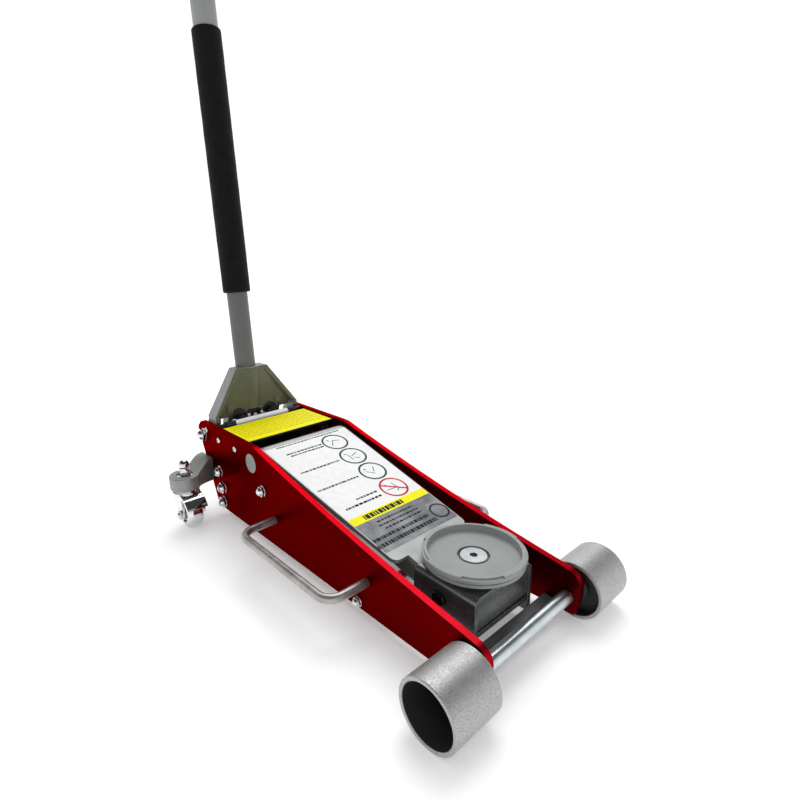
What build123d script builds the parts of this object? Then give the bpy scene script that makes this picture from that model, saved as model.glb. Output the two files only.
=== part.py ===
from build123d import *
import math
import os

# Low-profile hydraulic trolley jack, in millimetres.
# +X points to the saddle end, +Y to the left-hand side plate, +Z up.
# The origin is on the floor, under the middle of the jack's overall length.

# ---------------------------------------------------------------- driving dimensions
AXLE_X = 331.5            # front axle, ahead of the origin
FIT = 0.05                # radial clearance of a running fit

# side plates
PLATE_IN = 83.8           # inner face of a side plate, from the middle plane
PLATE_T = 9.4
PLATE_OUT = PLATE_IN + PLATE_T
PLATE_BOTTOM = 13.2
PLATE_TOP = 155.0
NOSE_AHEAD = 15.0         # nose of a side plate, ahead of the front axle

# front rollers
ROLLER_R = 35.3
ROLLER_WALL = 4.8
ROLLER_IN = 97.1
ROLLER_OUT = 162.7
WEB_IN = 111.0            # web that carries the hub
WEB_OUT = 119.0
HUB_IN = 105.0
HUB_OUT = 126.0
HUB_R = 14.0
AXLE_R = 7.0
AXLE_MID_R = 8.2

# rear casters
CASTER_BACK = 550.0       # swivel axis, behind the front axle
CASTER_Y = 148.5
CASTER_TRAIL = 12.5
WHEEL_R = 24.5
WHEEL_W = 26.0
BOSS_R = 24.5
BOSS_LOW = 65.0
BOSS_HIGH = 87.0
STEM_R = 6.0
SEAT_DROP = 4.0           # depth of the nut's seat in the boss

# lift arm and saddle
ARM_BACK = 425.0          # lift arm pivot
ARM_Z = 127.0
ARM_SHAFT_R = 15.0
ARM_TUBE_R = 18.0
PIN_BACK = 80.0           # pivot between arm and saddle bracket
PIN_Z = 58.0
SADDLE_PIN_R = 8.0
LINK_DX = 32.0            # parallel link pivots, ahead of and below the arm's
LINK_DZ = -34.0
TOP_REAR_BACK = 417.0     # rear edge of the arm's top plate
TOP_REAR_Z = 148.8
TOP_SLOPE = 13.39         # degrees
TOP_T = 5.0
TOP_HALF_REAR = 79.1
TOP_HALF_FRONT = 67.0
TONGUE_HALF = 45.0
CHEEK_IN = 38.0
CHEEK_OUT = 46.0
WALL_IN = 48.0            # saddle bracket walls
WALL_OUT = 54.0
BRACKET_REAR = 119.5
BRACKET_FRONT = 31.0
BRACKET_LOW = 16.0
BRACKET_TOP = 80.0
SADDLE_BACK = 75.0
SADDLE_R = 60.8
SADDLE_TOP = 100.0
DISH_R = 53.0
DISH_Z = 91.5

# hydraulic unit
RAM_Z = 77.0
RAM_R = 13.0
EAR_R = 55.0              # radius from the arm pivot to the ram pin
EAR_ANGLE = -125.0        # direction of the ram pin at rest, degrees
RAM_PIN_R = 8.0
CYLINDER_R = 30.0
CYLINDER_BORE = 22.0
CYLINDER_REAR = 556.0
CYLINDER_FRONT = 482.0
SPRING_Z = 53.0
SPRING_Y = 40.0
VALVE_TOP = 150.0         # top of the valve block behind the guard rod

# handle
PIVOT_BACK = 586.0        # pivot of the handle yoke
PIVOT_Z = 133.0
LEAN = 4.6                # backward lean of the handle, degrees
LOWER_R = 18.0
UPPER_R = 20.0
GRIP_R = 24.0
GRIP_LOW = 238.0          # distances along the handle from its pivot
GRIP_HIGH = 665.0
LOWER_START = 40.0
LOWER_END = 600.0
UPPER_START = 480.0
HANDLE_END = 1110.0
PUMP_Y = 26.0
PUMP_Z = 114.0

os.makedirs("parts", exist_ok=True)


# ---------------------------------------------------------------- helpers
def at(behind):
    """X of a place given as a distance behind the front axle."""
    return AXLE_X - behind


def save(node, *solids):
    """Write one node: a solid, or a group of separate solids."""
    shape = solids[0] if len(solids) == 1 else Compound(children=list(solids))
    export_step(shape, f"parts/{node}.step")


def rod_y(behind, z, radius, y0, y1):
    """Cylinder along Y between two Y values."""
    low = min(y0, y1)
    plane = Plane(origin=(at(behind), low, z), x_dir=(1, 0, 0), z_dir=(0, 1, 0))
    return plane * Cylinder(radius, abs(y1 - y0), align=(Align.CENTER, Align.CENTER, Align.MIN))


def rod_z(x, y, radius, z0, z1):
    """Upright cylinder."""
    return Pos(x, y, z0) * Cylinder(radius, z1 - z0, align=(Align.CENTER, Align.CENTER, Align.MIN))


def rod_x(behind0, behind1, y, z, radius):
    """Cylinder along X from one distance behind the axle to a smaller one."""
    plane = Plane(origin=(at(behind0), y, z), x_dir=(0, 1, 0), z_dir=(1, 0, 0))
    return plane * Cylinder(radius, behind0 - behind1, align=(Align.CENTER, Align.CENTER, Align.MIN))


def block(behind0, behind1, y0, y1, z0, z1):
    """Box between two distances behind the axle, two Y values and two Z values."""
    size = (abs(behind0 - behind1), abs(y1 - y0), abs(z1 - z0))
    middle = (at((behind0 + behind1) / 2), (y0 + y1) / 2, (z0 + z1) / 2)
    return Pos(*middle) * Box(*size)


def plate_xz(face_sketch, y0, y1):
    """Extrude a sketch drawn in X and Z from one Y value to another."""
    plane = Plane(origin=(0, min(y0, y1), 0), x_dir=(1, 0, 0), z_dir=(0, -1, 0))
    return extrude(plane * face_sketch, amount=-abs(y1 - y0))


def outline(points):
    """Closed sketch through points given as (behind, z)."""
    return make_face(Polyline(*[(at(b), z) for b, z in points], close=True))


def disc(behind, z, radius):
    """Round sketch at a place given as (behind, z)."""
    return Pos(at(behind), z) * Circle(radius)


def sides():
    """The two sides of the jack: name and sign of Y."""
    return (("left", 1), ("right", -1))


def dome_nut(behind, z, y, sign, across=16.0, height=13.0):
    """Hexagonal cap nut on a face at y, pointing outward along sign."""
    plane = Plane(origin=(at(behind), y, z), x_dir=(1, 0, 0), z_dir=(0, sign, 0))
    hexagon = extrude(RegularPolygon(across / 2, 6, major_radius=False), height * 0.48)
    washer = Cylinder(across * 0.58, 1.4, align=(Align.CENTER, Align.CENTER, Align.MIN))
    dome = Pos(0, 0, height - across * 0.44) * Sphere(across * 0.44)
    stem = Cylinder(across * 0.44, height * 0.52, align=(Align.CENTER, Align.CENTER, Align.MIN))
    return plane * (washer + hexagon + stem + (dome & Pos(0, 0, height / 2) * Box(across, across, height)))


def button_screw(behind, z, y, sign, radius=4.2):
    """Low round screw head with a hexagonal socket, on a face at y."""
    plane = Plane(origin=(at(behind), y, z), x_dir=(1, 0, 0), z_dir=(0, sign, 0))
    head = Cylinder(radius, 2.6, align=(Align.CENTER, Align.CENTER, Align.MIN))
    head = fillet(head.edges().sort_by(Axis.Z)[-1], 1.6)
    socket = extrude(RegularPolygon(radius * 0.45, 6), 1.4)
    return plane * (head - Pos(0, 0, 1.4) * socket)


def coil(length, radius, wire, turns):
    """Helical spring along Z from its own origin."""
    pitch = (length - wire) / turns
    path = Helix(pitch, length - wire, radius - wire / 2)
    section = Plane(origin=path @ 0, z_dir=path % 0) * Circle(wire / 2)
    return Pos(0, 0, wire / 2) * sweep(section, path=path, is_frenet=True)


# ---------------------------------------------------------------- frame
HANDLE_HOLE_R = 6.0
LINK_BOLT_R = 6.0
CARRY_R = 5.6
CARRY_FRONT = 159.0
CARRY_REAR = 363.0
CARRY_Z = 57.0
CARRY_REACH = 150.0
CARRY_BEND = 20.0
LINK_BACK = ARM_BACK - LINK_DX
LINK_Z = ARM_Z + LINK_DZ
LINK_IN = 28.5
LINK_OUT = 34.5
REAR_NUTS = ((535.0, 80.0), (525.0, 54.0), (528.0, 27.0))
TIE_BACK = 175.0
TIE_Z = 22.7
TIE_R = 5.0


def side_plate(sign):
    top = Line((at(597), PLATE_TOP), (at(416), PLATE_TOP))
    slope = ThreePointArc((at(416), PLATE_TOP), (at(191), 102.2), (at(1), 69.0))
    nose_top = ThreePointArc((at(1), 69.0), (at(5 - NOSE_AHEAD), 63.0), (at(-NOSE_AHEAD), 51.0))
    nose = ThreePointArc((at(-NOSE_AHEAD), 51.0), (at(1.4 - NOSE_AHEAD), 32.0),
                         (at(6 - NOSE_AHEAD), PLATE_BOTTOM))
    rest = Polyline((at(6 - NOSE_AHEAD), PLATE_BOTTOM), (at(548), PLATE_BOTTOM), (at(552), 17.0),
                    (at(611), 143.0), (at(597), PLATE_TOP))
    sketch = make_face(Curve() + [top, slope, nose_top, nose, rest])
    corners = sketch.vertices()
    rear_top = corners.sort_by_distance((at(611), 143, 0))[0]
    rear_cap = corners.sort_by_distance((at(597), PLATE_TOP, 0))[0]
    sketch = fillet([rear_top, rear_cap], 8.0)
    bend = sketch.vertices().sort_by_distance((at(416), PLATE_TOP, 0))[0]
    sketch = fillet(bend, 45.0)
    holes = [disc(0, ROLLER_R, AXLE_R + FIT), disc(ARM_BACK, ARM_Z, ARM_SHAFT_R + FIT),
             disc(PIVOT_BACK, PIVOT_Z, HANDLE_HOLE_R + FIT), disc(LINK_BACK, LINK_Z, LINK_BOLT_R + FIT),
             disc(CARRY_FRONT, CARRY_Z, CARRY_R + FIT), disc(CARRY_REAR, CARRY_Z, CARRY_R + FIT),
             disc(TIE_BACK, TIE_Z, TIE_R + FIT)]
    for hole in holes:
        sketch -= hole
    plate = plate_xz(sketch, sign * PLATE_IN, sign * PLATE_OUT)
    outer = plate.faces().sort_by(Axis.Y)[-1 if sign > 0 else 0]
    return chamfer(outer.outer_wire().edges(), 0.9)


def front_cross_plate():
    """Folded plate that joins the side plates just behind the front axle."""
    sketch = outline([(29.5, 24.0), (12.0, 20.0), (9.0, 14.0), (13.0, 14.0), (15.0, 17.0), (29.5, 19.5)])
    return plate_xz(sketch, -PLATE_IN + 0.1, PLATE_IN - 0.1)


def front_axle():
    middle = rod_y(0, ROLLER_R, AXLE_MID_R, -PLATE_IN, PLATE_IN)
    middle = chamfer(middle.edges().filter_by(GeomType.CIRCLE), 1.6)
    return middle + rod_y(0, ROLLER_R, AXLE_R, -HUB_OUT - 12, HUB_OUT + 12)


def axle_spacer(sign):
    tube = rod_y(0, ROLLER_R, 11.5, sign * (PLATE_OUT + 0.1), sign * (HUB_IN - 0.3))
    return tube - rod_y(0, ROLLER_R, AXLE_R + FIT, -200, 200)


def axle_nut(sign):
    face = sign * (HUB_OUT + 0.3)
    nut = dome_nut(0, ROLLER_R, face, sign, 19.0, 16.0)
    return nut - rod_y(0, ROLLER_R, AXLE_R + FIT, -HUB_OUT - 12.2, HUB_OUT + 12.2)


def rear_cross_plate():
    """Upright plate between the side plates at the rear, below the hydraulic unit."""
    sketch = outline([(520, 19), (545, 19), (558, 44), (553.5, 46), (542.5, 24), (520, 24)])
    return plate_xz(sketch, -PLATE_IN + 0.1, PLATE_IN - 0.1)


def tie_bar():
    bar = rod_y(TIE_BACK, TIE_Z, 8.0, -PLATE_IN + 0.05, PLATE_IN - 0.05)
    return bar + rod_y(TIE_BACK, TIE_Z, TIE_R, -PLATE_OUT, PLATE_OUT)


def cover_plate():
    """Flat cover over the hydraulic unit with a folded tab along each side plate."""
    top = block(538, 450, -PLATE_IN + 0.3, PLATE_IN - 0.3, 149.0, 151.6)
    tabs = [block(536, 462, s * (PLATE_IN - 0.3), s * (PLATE_IN - 2.9), 128.0, 149.0) for _, s in sides()]
    return top + tabs


def plate_screws():
    """Button screws on the side plates: two for the cover's tabs and one beside the yoke's bolt."""
    spots = ((528, 137.0, 4.8), (472, 137.0, 4.8), (573.8, 144.0, 4.6))
    return [button_screw(b, z, s * (PLATE_OUT + 0.02), s, r) for b, z, r in spots for _, s in sides()]


def frame_nuts():
    """Cap nuts on the side plates: three at the rear and one on the tie bar, each side."""
    nuts = []
    for _, s in sides():
        nuts += [dome_nut(b, z, s * (PLATE_OUT + 0.02), s, 17.0, 12.0) for b, z in REAR_NUTS]
        nuts.append(dome_nut(TIE_BACK, TIE_Z, s * (PLATE_OUT + 0.02), s, 12.0, 9.0))
    return nuts


def link_bolt(sign):
    """Stub bolt from a side plate that carries the rear eye of a parallel link."""
    shank = rod_y(LINK_BACK, LINK_Z, LINK_BOLT_R, sign * (LINK_IN - 0.9), sign * PLATE_OUT)
    collar = rod_y(LINK_BACK, LINK_Z, 8.5, sign * (LINK_OUT + 0.5), sign * (LINK_OUT + 2.5))
    collar += rod_y(LINK_BACK, LINK_Z, 8.5, sign * 48, sign * (PLATE_IN - 0.05))
    return shank + collar + dome_nut(LINK_BACK, LINK_Z, sign * PLATE_OUT, sign, 15.0, 11.0)


def handle_bolt(sign):
    """Shouldered bolt that one ear of the handle yoke turns on."""
    shank = rod_y(PIVOT_BACK, PIVOT_Z, HANDLE_HOLE_R, sign * 72.0, sign * PLATE_OUT)
    head = dome_nut(PIVOT_BACK, PIVOT_Z, sign * PLATE_OUT, sign, 19.5, 14.0)
    return shank + head


def carry_handle(sign):
    """Bent round bar with two legs through the side plate."""
    foot = sign * (PLATE_IN - 6.5)
    path = FilletPolyline((at(CARRY_REAR), foot, CARRY_Z), (at(CARRY_REAR), sign * CARRY_REACH, CARRY_Z),
                          (at(CARRY_FRONT), sign * CARRY_REACH, CARRY_Z),
                          (at(CARRY_FRONT), foot, CARRY_Z), radius=CARRY_BEND)
    section = Plane(origin=path @ 0, z_dir=path % 0) * Circle(CARRY_R)
    return sweep(section, path=path)


def carry_nuts():
    """Hexagon nuts inside the side plates, one on each leg of the carry handles."""
    nuts = []
    for _, s in sides():
        for behind in (CARRY_FRONT, CARRY_REAR):
            plane = Plane(origin=(at(behind), s * (PLATE_IN - 0.05), CARRY_Z), z_dir=(0, -s, 0))
            nut = plane * extrude(RegularPolygon(8.5, 6, major_radius=False), 6.0)
            nuts.append(nut - rod_y(behind, CARRY_Z, CARRY_R + FIT, s * 70, s * 90))
    return nuts


def caster_arm(sign):
    """Cast arm that curves out from the side plate to the caster's swivel boss."""
    stations = ((PLATE_OUT + 0.05, 604, 562, 55, 96), (110.0, 598, 551, 59, 94.5),
                (127.0, 584, 537, 63.5, 89.5), (142.0, 573, 527.5, BOSS_LOW, BOSS_HIGH))
    sections = []
    for y, rear, front, low, high in stations:
        middle = (at((rear + front) / 2), sign * y, (low + high) / 2)
        plane = Plane(origin=middle, x_dir=(1, 0, 0), z_dir=(0, sign, 0))
        sections.append(plane * RectangleRounded(rear - front, high - low, 3.5))
    arm = loft(Sketch() + sections)
    boss = rod_z(at(CASTER_BACK), sign * CASTER_Y, BOSS_R, BOSS_LOW, BOSS_HIGH)
    boss = fillet(boss.edges().filter_by(GeomType.CIRCLE), 1.5)
    seat = rod_z(at(CASTER_BACK), sign * CASTER_Y, 13.0, BOSS_HIGH - SEAT_DROP, BOSS_HIGH + 12)
    stem = rod_z(at(CASTER_BACK), sign * CASTER_Y, STEM_R + FIT, BOSS_LOW - 5, BOSS_HIGH + 5)
    return arm + boss - seat - stem


def caster_arm_bolts():
    """Hexagon heads inside the side plates that hold the caster arms."""
    heads = []
    for _, s in sides():
        for behind, z in ((590, 90), (574, 66)):
            plane = Plane(origin=(at(behind), s * (PLATE_IN - 0.02), z), z_dir=(0, -s, 0))
            heads.append(plane * extrude(RegularPolygon(6.5, 6, major_radius=False), 5.0))
    return heads


# ---------------------------------------------------------------- hydraulic unit, fixed to the frame
def hydraulic_block():
    """Valve block behind and above the cylinder, with the two pump bores."""
    lower = plate_xz(outline([(556, 46), (565, 46), (580, 78), (580, 102), (556, 102)]), -36, 36)
    upper = block(556, 500, -44, 44, 107.4, 137.0) + block(572.5, 556, -41, 41, 126.8, 137.0)
    upper += block(572.5, 561, -43, 43, 137.0, VALVE_TOP)
    caps = [rod_x(572.5, 561, y, VALVE_TOP, radius) for y, radius in ((-31, 8.5), (32, 12.0))]
    neck = block(572, 546, -12, 12, 102, 112) + block(556, 540, -44, 44, 100.5, 107.4)
    neck -= rod_x(570, 480, 0, RAM_Z, CYLINDER_R + 0.3)
    valve_boss = rod_z(at(PIVOT_BACK), 0, 9.5, 84, 101) + block(586, 575, -9.5, 9.5, 84, 101)
    body = lower + upper + caps + neck + valve_boss
    for s in (-1, 1):
        body -= rod_x(557, 546, s * PUMP_Y, PUMP_Z, 10.6)
        body -= rod_x(560, 508, s * PUMP_Y, PUMP_Z, 7.0 + FIT)
    body -= rod_z(at(PIVOT_BACK), 0, 6.0 + FIT, 88, 120)
    return body


def hydraulic_mount_bars():
    """Two cross bars that hold the valve block between the side plates."""
    bars = []
    for _, s in sides():
        bars.append(block(548, 512, s * 44.05, s * (PLATE_IN - 2.95), 110, 124))
    return bars


def ram_cylinder():
    tube = rod_x(CYLINDER_REAR, CYLINDER_FRONT, 0, RAM_Z, CYLINDER_R)
    return tube - rod_x(CYLINDER_REAR, CYLINDER_FRONT, 0, RAM_Z, CYLINDER_BORE)


def cylinder_gland():
    """Screwed front cap with the rod's guide bore."""
    cap = rod_x(CYLINDER_FRONT, 476, 0, RAM_Z, 27.0)
    cap += rod_x(485, CYLINDER_FRONT, 0, RAM_Z, CYLINDER_BORE - 0.02)
    return cap - rod_x(490, 470, 0, RAM_Z, RAM_R + FIT)


def block_plugs():
    """Filler plug, relief valve caps and one-way valve caps on top of the valve block."""
    plugs = []
    for y, radius, height in ((-16, 4.5, 6.0), (-3, 5.2, 4.5), (11, 4.5, 6.5)):
        base = rod_z(at(566.7), y, radius, VALVE_TOP + 0.05, VALVE_TOP + height)
        plane = Plane(origin=(at(566.7), y, VALVE_TOP + height))
        plugs.append(base + plane * extrude(RegularPolygon(radius * 0.66, 6), 2.5))
    plugs.append(rod_z(at(515), 0, 11.0, 137.05, 143.0) + rod_z(at(515), 0, 6.0, 143.0, 146.0))
    return plugs


def spring_anchor():
    """Cross rod under the cylinder's rear end, with an upright post for each return spring."""
    rod = rod_y(540, SPRING_Z - 12, 4.5, -PLATE_IN + 0.05, PLATE_IN - 0.05)
    posts = [block(543, 537, s * (SPRING_Y - 3), s * (SPRING_Y + 3), SPRING_Z - 12, SPRING_Z + 6)
             for _, s in sides()]
    return rod + posts


def guard_rod():
    """Cross rod in front of the yoke, held by the side plates, with a collar near each end."""
    rod = rod_y(554, 150.0, 4.0, -PLATE_IN + 0.05, PLATE_IN - 0.05)
    return rod + [rod_y(554, 150.0, 6.6, y0, y1) for y0, y1 in ((-68, -50.1), (56.1, 70))]


def guard_sleeve():
    sleeve = rod_y(554, 150.0, 5.6, -50, 56)
    return sleeve - rod_y(554, 150.0, 4.0 + FIT, -60, 60)


def build_frame():
    for name, s in sides():
        save(f"side_plate_{name}", side_plate(s))
        save(f"carry_handle_{name}", carry_handle(s))
        save(f"caster_arm_{name}", caster_arm(s))
    save("front_cross_plate", front_cross_plate())
    save("front_axle", front_axle())
    save("axle_spacers", *[axle_spacer(s) for _, s in sides()])
    save("axle_nuts", *[axle_nut(s) for _, s in sides()])
    save("rear_cross_plate", rear_cross_plate())
    save("tie_bar", tie_bar())
    save("cover_plate", cover_plate())
    save("plate_screws", *plate_screws())
    save("frame_nuts", *frame_nuts())
    save("link_bolts", *[link_bolt(s) for _, s in sides()])
    save("handle_pivot_bolts", *[handle_bolt(s) for _, s in sides()])
    save("inner_nuts", *carry_nuts(), *caster_arm_bolts())
    save("arm_pivot_shaft", rod_y(ARM_BACK, ARM_Z, ARM_SHAFT_R, -PLATE_OUT, PLATE_OUT))
    save("hydraulic_block", hydraulic_block())
    save("hydraulic_mount_bars", *hydraulic_mount_bars())
    save("ram_cylinder", ram_cylinder())
    save("cylinder_gland", cylinder_gland())
    save("block_plugs", *block_plugs())
    save("spring_anchor", spring_anchor())
    save("guard_rod", guard_rod())
    save("guard_sleeve", guard_sleeve())


# ---------------------------------------------------------------- rollers and casters
def roller(sign):
    """Hollow cast roller with a web and hub inside."""
    shell = rod_y(0, ROLLER_R, ROLLER_R, sign * ROLLER_IN, sign * ROLLER_OUT)
    shell -= rod_y(0, ROLLER_R, ROLLER_R - ROLLER_WALL, sign * (ROLLER_IN - 1), sign * (ROLLER_OUT + 1))
    shell = chamfer(shell.edges().filter_by(GeomType.CIRCLE), 0.9)
    web = rod_y(0, ROLLER_R, ROLLER_R - ROLLER_WALL + 0.5, sign * WEB_IN, sign * WEB_OUT)
    hub = rod_y(0, ROLLER_R, HUB_R, sign * HUB_IN, sign * HUB_OUT)
    bore = rod_y(0, ROLLER_R, AXLE_R + FIT, sign * (HUB_IN - 5), sign * (HUB_OUT + 5))
    return shell + web + hub - bore


HOOD_IN = 28.5            # hood of the fork, about the wheel's axle
HOOD_OUT = 33.5


def caster_fork(sign):
    """Fork with a curved hood on its swivel stem, trailing its wheel ahead of the stem."""
    x = at(CASTER_BACK)
    y = sign * CASTER_Y
    back = CASTER_BACK - CASTER_TRAIL
    top = rod_z(x, y, 21.5, 57.0, 60.3)
    ring = rod_z(x, y, 18.0, 60.3, 62.3) + rod_z(x, y, 12.5, 62.3, BOSS_LOW - 0.3)
    stem = rod_z(x, y, STEM_R, 61.5, BOSS_HIGH - SEAT_DROP + 0.3)
    cheeks = []
    sketch = make_hull((disc(back, WHEEL_R, 9.0) + Pos(x, 58.0) * Rectangle(32, 4)).edges())
    for side in (-1, 1):
        inner = y + side * (WHEEL_W / 2 + 0.9)
        cheeks.append(plate_xz(sketch, inner, inner + side * 3.0))
    bridge = Pos(x, y, 58.0) * Box(27, WHEEL_W + 7.8, 4)
    arch = disc(back, WHEEL_R, HOOD_OUT) - disc(back, WHEEL_R, HOOD_IN)
    arch &= Pos(at(back), 50.0) * Rectangle(2 * HOOD_OUT, 20.0)
    hood = plate_xz(arch, y - WHEEL_W / 2 - 3.9, y + WHEEL_W / 2 + 3.9)
    fork = top + ring + stem + bridge + hood + cheeks
    return fork - rod_y(back, WHEEL_R, 4.0 + FIT, y - 30, y + 30)


def caster_nut(sign):
    """Cap nut and washer on top of the swivel stem."""
    plane = Plane(origin=(at(CASTER_BACK), sign * CASTER_Y, BOSS_HIGH - SEAT_DROP + 0.3))
    washer = Cylinder(12.0, 2.0, align=(Align.CENTER, Align.CENTER, Align.MIN))
    hexagon = Pos(0, 0, 2.0) * extrude(RegularPolygon(8.5, 6, major_radius=False), 10.5)
    neck = Pos(0, 0, 12.5) * Cylinder(7.6, 6.0, align=(Align.CENTER, Align.CENTER, Align.MIN))
    return plane * (washer + hexagon + neck + Pos(0, 0, 20.0) * Sphere(8.9))


def caster_axle(sign):
    """Bolt through the fork and the wheel, with a cap nut on its outer side."""
    back = CASTER_BACK - CASTER_TRAIL
    y = sign * CASTER_Y
    half = WHEEL_W / 2 + 3.95
    pin = rod_y(back, WHEEL_R, 4.0, y - half, y + half)
    head = rod_y(back, WHEEL_R, 7.0, y - sign * half, y - sign * (half + 4.5))
    return pin + head + dome_nut(back, WHEEL_R, y + sign * half, sign, 13.0, 7.5)


def caster_wheel(sign):
    y = sign * CASTER_Y
    back = CASTER_BACK - CASTER_TRAIL
    wheel = rod_y(back, WHEEL_R, WHEEL_R, y - WHEEL_W / 2, y + WHEEL_W / 2)
    wheel = fillet(wheel.edges().filter_by(GeomType.CIRCLE), 8.0)
    for side in (-1, 1):
        face = y + side * WHEEL_W / 2
        ring = rod_y(back, WHEEL_R, 14.5, face, face - side * 2.5)
        wheel -= ring - rod_y(back, WHEEL_R, 9.0, face + side, face - side * 3)
    return wheel - rod_y(back, WHEEL_R, 4.0 + FIT, y - 30, y + 30)


def build_wheels():
    for name, s in sides():
        save(f"roller_{name}", roller(s))
        save(f"caster_fork_{name}", caster_fork(s))
        save(f"caster_bolts_{name}", caster_nut(s), caster_axle(s))
        save(f"caster_wheel_{name}", caster_wheel(s))


# ---------------------------------------------------------------- lift arm
EAR_BACK = ARM_BACK - EAR_R * math.cos(math.radians(EAR_ANGLE))
EAR_Z = ARM_Z + EAR_R * math.sin(math.radians(EAR_ANGLE))


def top_surface_z(behind):
    """Height of the arm's top surface."""
    return TOP_REAR_Z - (TOP_REAR_BACK - behind) * math.tan(math.radians(TOP_SLOPE))


def arm_top_plate():
    """Tapering top plate with a narrower tongue at the saddle end."""
    run = (TOP_REAR_BACK - 137) / math.cos(math.radians(TOP_SLOPE))
    tongue = (TOP_REAR_BACK - 121) / math.cos(math.radians(TOP_SLOPE))
    half = [(0, TOP_HALF_REAR), (run, TOP_HALF_FRONT), (run, TONGUE_HALF), (tongue, TONGUE_HALF)]
    mirrored = [(u, -v) for u, v in reversed(half)]
    sketch = make_face(Polyline(*half, *mirrored, close=True))
    outer = [v for v in sketch.vertices() if abs(v.Y) > TONGUE_HALF + 1]
    sketch = fillet(outer, 10.0)
    slope = math.radians(TOP_SLOPE)
    plane = Plane(origin=(at(TOP_REAR_BACK), 0, TOP_REAR_Z), x_dir=(math.cos(slope), 0, -math.sin(slope)),
                  z_dir=(math.sin(slope), 0, math.cos(slope)))
    plate = extrude(plane * sketch, amount=-TOP_T)
    return plate - rod_y(ARM_BACK, ARM_Z, ARM_TUBE_R + 0.05, -90, 90)


def arm_cheek(sign):
    """Upright plate under the top plate, from the pivot tube to the saddle bracket's pin."""
    drop = TOP_T / math.cos(math.radians(TOP_SLOPE)) + 0.06
    edge = [(TOP_REAR_BACK + 6, top_surface_z(TOP_REAR_BACK + 6) - drop), (121, top_surface_z(121) - drop),
            (85, PIN_Z + 14), (80, PIN_Z), (83, PIN_Z - 14), (TOP_REAR_BACK + 3, ARM_Z - 17)]
    sketch = outline(edge) + disc(PIN_BACK, PIN_Z, 14.5)
    sketch -= disc(ARM_BACK, ARM_Z, ARM_TUBE_R + 0.05)
    sketch -= disc(PIN_BACK, PIN_Z, SADDLE_PIN_R + FIT)
    body = plate_xz(sketch, sign * CHEEK_IN, sign * CHEEK_OUT)
    return body.solids().sort_by(SortBy.VOLUME)[-1]


def arm_pivot_tube():
    """Tube on the pivot shaft, with two lever ears that the ram's pin pushes on."""
    tube = rod_y(ARM_BACK, ARM_Z, ARM_TUBE_R, -PLATE_IN + 0.8, PLATE_IN - 0.8)
    ear = make_hull((disc(ARM_BACK, ARM_Z, ARM_TUBE_R - 2) + disc(EAR_BACK, EAR_Z, 13.0)).edges())
    ear -= disc(EAR_BACK, EAR_Z, RAM_PIN_R + FIT)
    for _, s in sides():
        tube += plate_xz(ear, s * 14.0, s * 24.0)
    return tube - rod_y(ARM_BACK, ARM_Z, ARM_SHAFT_R + FIT, -90, 90)


def ram_pin():
    pin = rod_y(EAR_BACK, EAR_Z, RAM_PIN_R, -26.0, 26.0)
    heads = [rod_y(EAR_BACK, EAR_Z, 10.5, s * 24.05, s * 26.0) for _, s in sides()]
    return pin + heads


def saddle_pin(sign):
    """Stub pin with a domed head outside the saddle bracket."""
    shank = rod_y(PIN_BACK, PIN_Z, SADDLE_PIN_R, sign * (CHEEK_IN - 2), sign * (WALL_OUT + 0.4))
    head = rod_y(PIN_BACK, PIN_Z, 9.5, sign * (WALL_OUT + 0.4), sign * (WALL_OUT + 5.5))
    rim = head.edges().filter_by(GeomType.CIRCLE).sort_by(Axis.Y)[-1 if sign > 0 else 0]
    return shank + fillet(rim, 2.5)


def build_arm():
    save("lift_arm_top_plate", arm_top_plate())
    save("lift_arm_cheeks", *[arm_cheek(s) for _, s in sides()])
    save("lift_arm_pivot_tube", arm_pivot_tube())
    save("ram_pin", ram_pin())
    save("saddle_pins", *[saddle_pin(s) for _, s in sides()])


# ---------------------------------------------------------------- saddle bracket, links and saddle
BRACKET_PIN_BACK = PIN_BACK - LINK_DX
BRACKET_PIN_Z = PIN_Z + LINK_DZ
LINK_PIN_R = 5.0


def saddle_bracket():
    """Inverted channel with an inset front plate; it stays level on the parallel links."""
    length = BRACKET_REAR - BRACKET_FRONT
    middle = at((BRACKET_REAR + BRACKET_FRONT) / 2)
    section = Pos(0, BRACKET_TOP / 2 + BRACKET_LOW / 2) * Rectangle(2 * WALL_OUT, BRACKET_TOP - BRACKET_LOW)
    section = fillet(section.vertices().group_by(Axis.Y)[-1], 10.0)
    inner = Pos(0, BRACKET_TOP / 2 + BRACKET_LOW / 2 - 6) * Rectangle(2 * WALL_IN, BRACKET_TOP - BRACKET_LOW)
    inner = fillet(inner.vertices().group_by(Axis.Y)[-1], 3.0)
    plane = Plane(origin=(middle - length / 2, 0, 0), x_dir=(0, 1, 0), z_dir=(1, 0, 0))
    shell = extrude(plane * (section - inner), amount=length)
    shell -= plate_xz(outline([(125, 10), (100, 10), (125, 50)]), -60, 60)
    front = block(37.5, 33.5, -WALL_IN, WALL_IN, 38.0, BRACKET_TOP - 6)
    lip = block(37.5, 34.5, -WALL_IN, WALL_IN, 27.0, 33.0)
    boss = rod_z(at(SADDLE_BACK), 0, 15.0, 67.0, BRACKET_TOP - 5)
    shell = shell + front + lip + boss
    for _, s in sides():
        shell -= rod_y(PIN_BACK, PIN_Z, SADDLE_PIN_R + FIT, s * 40, s * 60)
        shell -= rod_y(BRACKET_PIN_BACK, BRACKET_PIN_Z, LINK_PIN_R + FIT, s * 40, s * 60)
    return shell - rod_z(at(SADDLE_BACK), 0, 8.0 + FIT, 60, 90)


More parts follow.
